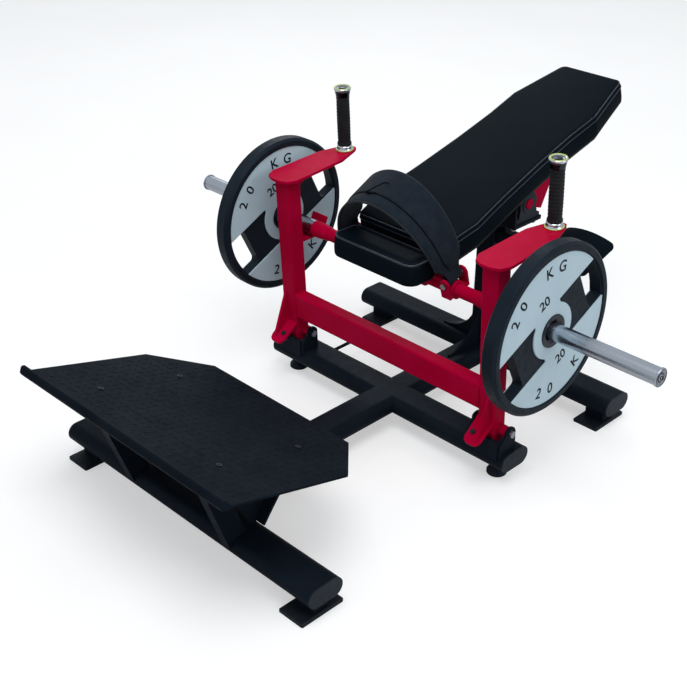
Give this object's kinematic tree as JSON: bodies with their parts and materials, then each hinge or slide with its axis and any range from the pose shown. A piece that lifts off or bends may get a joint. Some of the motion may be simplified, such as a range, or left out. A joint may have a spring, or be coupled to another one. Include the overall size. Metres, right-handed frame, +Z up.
{
  "type": "hip thrust machine",
  "caption": "Plate-loaded hip thrust bench: inclined back pad on a pivoting lever with a padded bar, hip belt, sloped foot platform and a swinging bar rack.",
  "frame": {"origin": "on the floor, under the centre of the bounding box, on the mid-plane", "axes": "+X across the machine to the user's left hand side when lying face up with the feet on the platform; +Y from the foot platform to the head end; +Z up"},
  "size_m": [1.594, 1.759, 0.8332],
  "materials": {
    "bearing_steel": "painted cast housing",
    "board": "black sealed plywood",
    "cap_black": "moulded black plug",
    "chrome": "polished chrome",
    "frame_black": "black textured powder coat",
    "grip": "ribbed black rubber grip",
    "hub_steel": "machined steel insert",
    "plate_pale": "pale blue-grey inlay",
    "plate_rubber": "black rubber covered plate",
    "platform_black": "black coated tread plate",
    "rack_red": "deep red gloss powder coat",
    "ring_lime": "yellow-green accent ring",
    "rubber": "moulded black rubber",
    "sleeve_steel": "turned and hard chromed",
    "upholstery": "black embossed vinyl over foam",
    "webbing": "black woven belt",
    "zinc": "zinc plated fastener"
  },
  "bodies": {
    "base_frame": {"spine_beam": "frame_black", "front_cross_member": "frame_black", "middle_cross_member": "frame_black", "rear_cross_member": "frame_black", "member_end_caps": "cap_black", "foot_risers": "frame_black", "foot_pads": "rubber", "rear_post": "frame_black", "post_gussets": "frame_black", "bearing_shelf": "frame_black", "pillow_blocks": "bearing_steel", "bearing_inserts": "bearing_steel", "bearing_bolts": "zinc", "elbow_rest_arms": "frame_black", "elbow_rests": "upholstery", "foot_platform": "platform_black", "platform_struts": "frame_black", "platform_bolts": "cap_black", "band_peg": "frame_black", "hinge_clevises": "frame_black", "hinge_bolts": "zinc"},
    "level_foot_l": {"level_foot_left": "rubber"},
    "level_foot_r": {"level_foot_right": "rubber"},
    "rack": {"upright_left": "rack_red", "upright_right": "rack_red", "hinge_barrels": "rack_red", "rack_beam": "rack_red", "top_plates": "rack_red", "top_gussets": "rack_red", "toe_plates": "rack_red", "rubber_bumpers": "rubber", "bumper_bolts": "cap_black", "bar_trays": "rack_red", "handle_posts": "chrome", "handle_grips": "grip", "handle_ferrules": "chrome", "handle_rings": "ring_lime"},
    "lever": {"pivot_shaft": "rack_red", "lever_arm": "rack_red", "pad_brackets": "rack_red", "back_pad_board": "board", "back_pad": "upholstery", "lift_bar": "rack_red", "bar_collars": "rack_red", "belt_clips": "rack_red", "clip_pins": "zinc", "hip_pad": "upholstery", "hip_pad_brackets": "rack_red", "belt": "webbing", "belt_strap": "webbing"},
    "sleeve_l": {"sleeve_left": "sleeve_steel", "sleeve_cap_left": "sleeve_steel"},
    "sleeve_r": {"sleeve_right": "sleeve_steel", "sleeve_cap_right": "sleeve_steel"},
    "weight_l": {"plate_left": "plate_rubber", "plate_faces_left": "plate_pale", "plate_hub_left": "hub_steel"},
    "weight_r": {"plate_right": "plate_rubber", "plate_faces_right": "plate_pale", "plate_hub_right": "hub_steel"}
  },
  "joints": [
    {"name": "lever_pivot", "type": "hinge", "parent": "base_frame", "child": "lever", "pos_m": [0, 0.4675, 0.548], "axis": [-1, 0, 0], "range_deg": [0, 14]},
    {"name": "rack_tilt", "type": "hinge", "parent": "base_frame", "child": "rack", "pos_m": [0, 0.0275, 0.146], "axis": [1, 0, 0], "range_deg": [0, 3]},
    {"name": "sleeve_spin_left", "type": "hinge", "parent": "lever", "child": "sleeve_l", "pos_m": [0, 0.0605, 0.463], "axis": [1, 0, 0], "continuous": true},
    {"name": "sleeve_spin_right", "type": "hinge", "parent": "lever", "child": "sleeve_r", "pos_m": [0, 0.0605, 0.463], "axis": [1, 0, 0], "continuous": true},
    {"name": "plate_load_left", "type": "slide", "parent": "sleeve_l", "child": "weight_l", "axis": [-1, 0, 0], "range_m": [0, 0.295]},
    {"name": "plate_load_right", "type": "slide", "parent": "sleeve_r", "child": "weight_r", "axis": [1, 0, 0], "range_m": [0, 0.295]},
    {"name": "level_left", "type": "slide", "parent": "base_frame", "child": "level_foot_l", "axis": [0, 0, 1], "range_m": [0, 0.008]},
    {"name": "level_right", "type": "slide", "parent": "base_frame", "child": "level_foot_r", "axis": [0, 0, 1], "range_m": [0, 0.008]}
  ]
}
